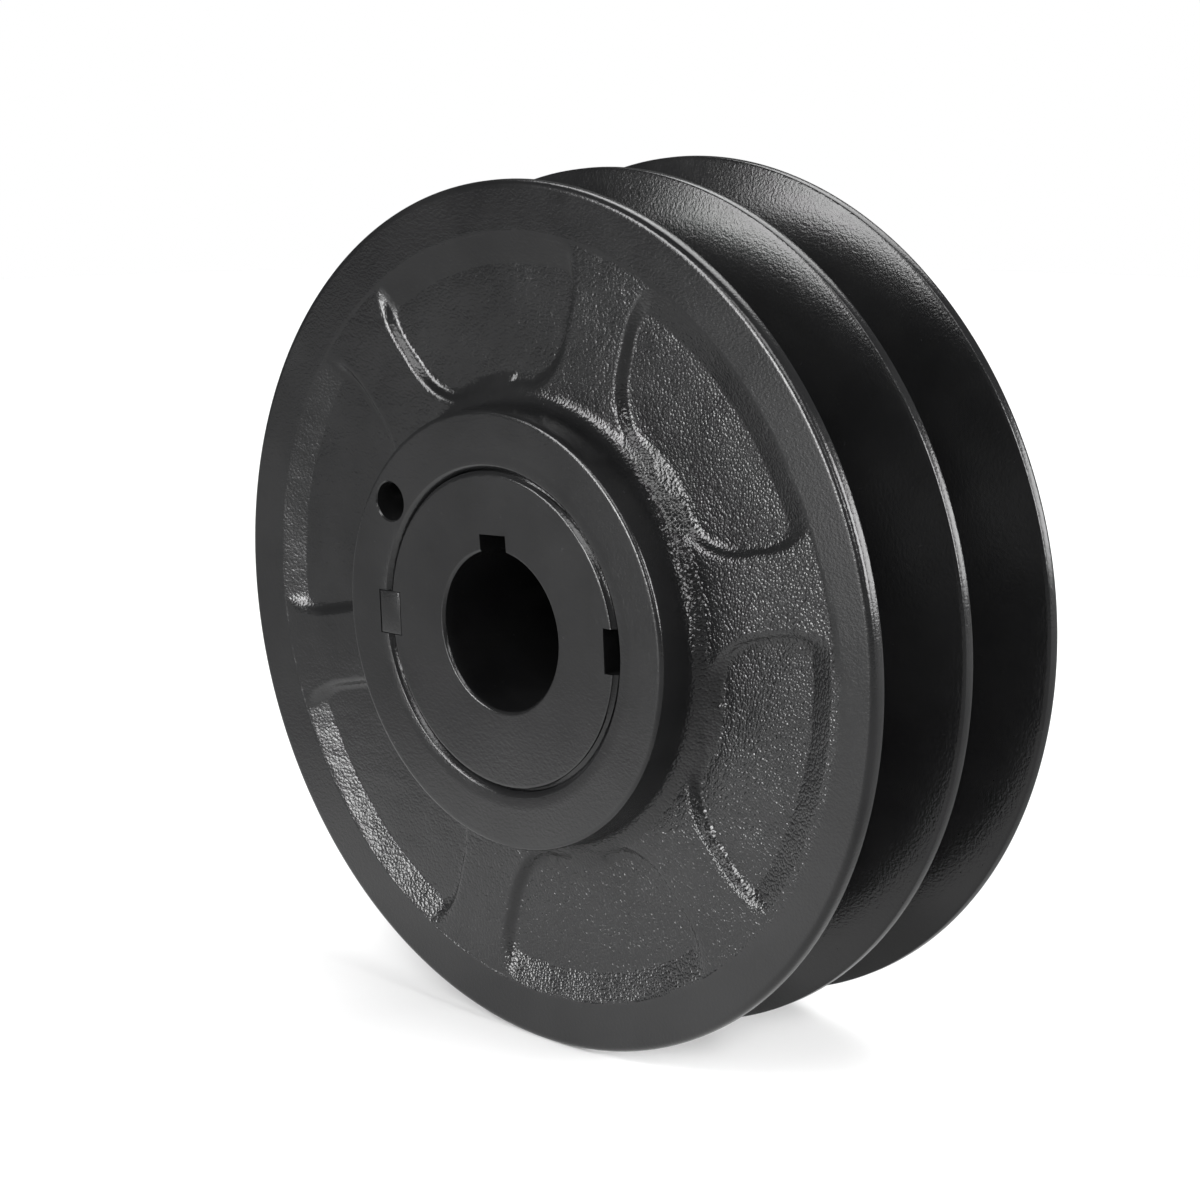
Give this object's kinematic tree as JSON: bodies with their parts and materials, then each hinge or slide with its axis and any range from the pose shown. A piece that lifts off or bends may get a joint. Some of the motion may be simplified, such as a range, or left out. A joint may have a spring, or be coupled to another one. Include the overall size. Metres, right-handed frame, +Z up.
{
  "type": "variable-pitch v belt pulley",
  "caption": "Double-groove V-belt pulley whose outer flanges screw along a threaded barrel to set the pitch diameter, with outside keys, set screws and a keyed bore.",
  "frame": {"origin": "on the shaft axis, in the middle plane of the centre flange", "axes": "+Y along the shaft axis towards the plain clamping end, +Z up, +X to the right seen from the front, which faces -Y"},
  "size_m": [0.1906, 0.1002, 0.1906],
  "materials": {
    "enamelled_iron": "charcoal enamel over cast and turned iron",
    "enamelled_key": "steel key, enamelled with the flange",
    "black_steel": "black oxide"
  },
  "bodies": {
    "hub": {"hub": "enamelled_iron"},
    "front_flange": {"front_flange": "enamelled_iron"},
    "rear_flange": {"rear_flange": "enamelled_iron"},
    "front_key": {"front_key": "enamelled_key"},
    "rear_key": {"rear_key": "enamelled_key"},
    "front_key_screw": {"front_key_screw": "black_steel"},
    "rear_key_screw": {"rear_key_screw": "black_steel"},
    "front_lock_screw": {"front_lock_screw": "black_steel"},
    "rear_lock_screw": {"rear_lock_screw": "black_steel"},
    "shaft_key_screw": {"shaft_key_screw": "black_steel"},
    "shaft_side_screw": {"shaft_side_screw": "black_steel"}
  },
  "joints": [
    {"name": "front_flange_travel", "type": "slide", "parent": "hub", "child": "front_flange", "axis": [0, 1, 0], "range_m": [0, 0.00953]},
    {"name": "rear_flange_travel", "type": "slide", "parent": "hub", "child": "rear_flange", "axis": [0, -1, 0], "range_m": [0, 0.00953]},
    {"name": "front_key_pull", "type": "slide", "parent": "front_flange", "child": "front_key", "axis": [0, -1, 0], "range_m": [0, 0.021]},
    {"name": "rear_key_pull", "type": "slide", "parent": "rear_flange", "child": "rear_key", "axis": [0, 1, 0], "range_m": [0, 0.021]},
    {"name": "front_key_screw_loosen", "type": "slide", "parent": "front_flange", "child": "front_key_screw", "axis": [-0.9986, 0, -0.0523], "range_m": [0, 0.003]},
    {"name": "rear_key_screw_loosen", "type": "slide", "parent": "rear_flange", "child": "rear_key_screw", "axis": [-0.9986, 0, -0.0523], "range_m": [0, 0.003]},
    {"name": "front_lock_screw_loosen", "type": "slide", "parent": "front_flange", "child": "front_lock_screw", "axis": [0.0523, 0, -0.9986], "range_m": [0, 0.003]},
    {"name": "rear_lock_screw_loosen", "type": "slide", "parent": "rear_flange", "child": "rear_lock_screw", "axis": [0.0523, 0, -0.9986], "range_m": [0, 0.003]},
    {"name": "shaft_key_screw_loosen", "type": "slide", "parent": "hub", "child": "shaft_key_screw", "axis": [-0.1011, 0, 0.9949], "range_m": [0, 0.003]},
    {"name": "shaft_side_screw_loosen", "type": "slide", "parent": "hub", "child": "shaft_side_screw", "axis": [0.9949, 0, 0.1011], "range_m": [0, 0.003]}
  ]
}
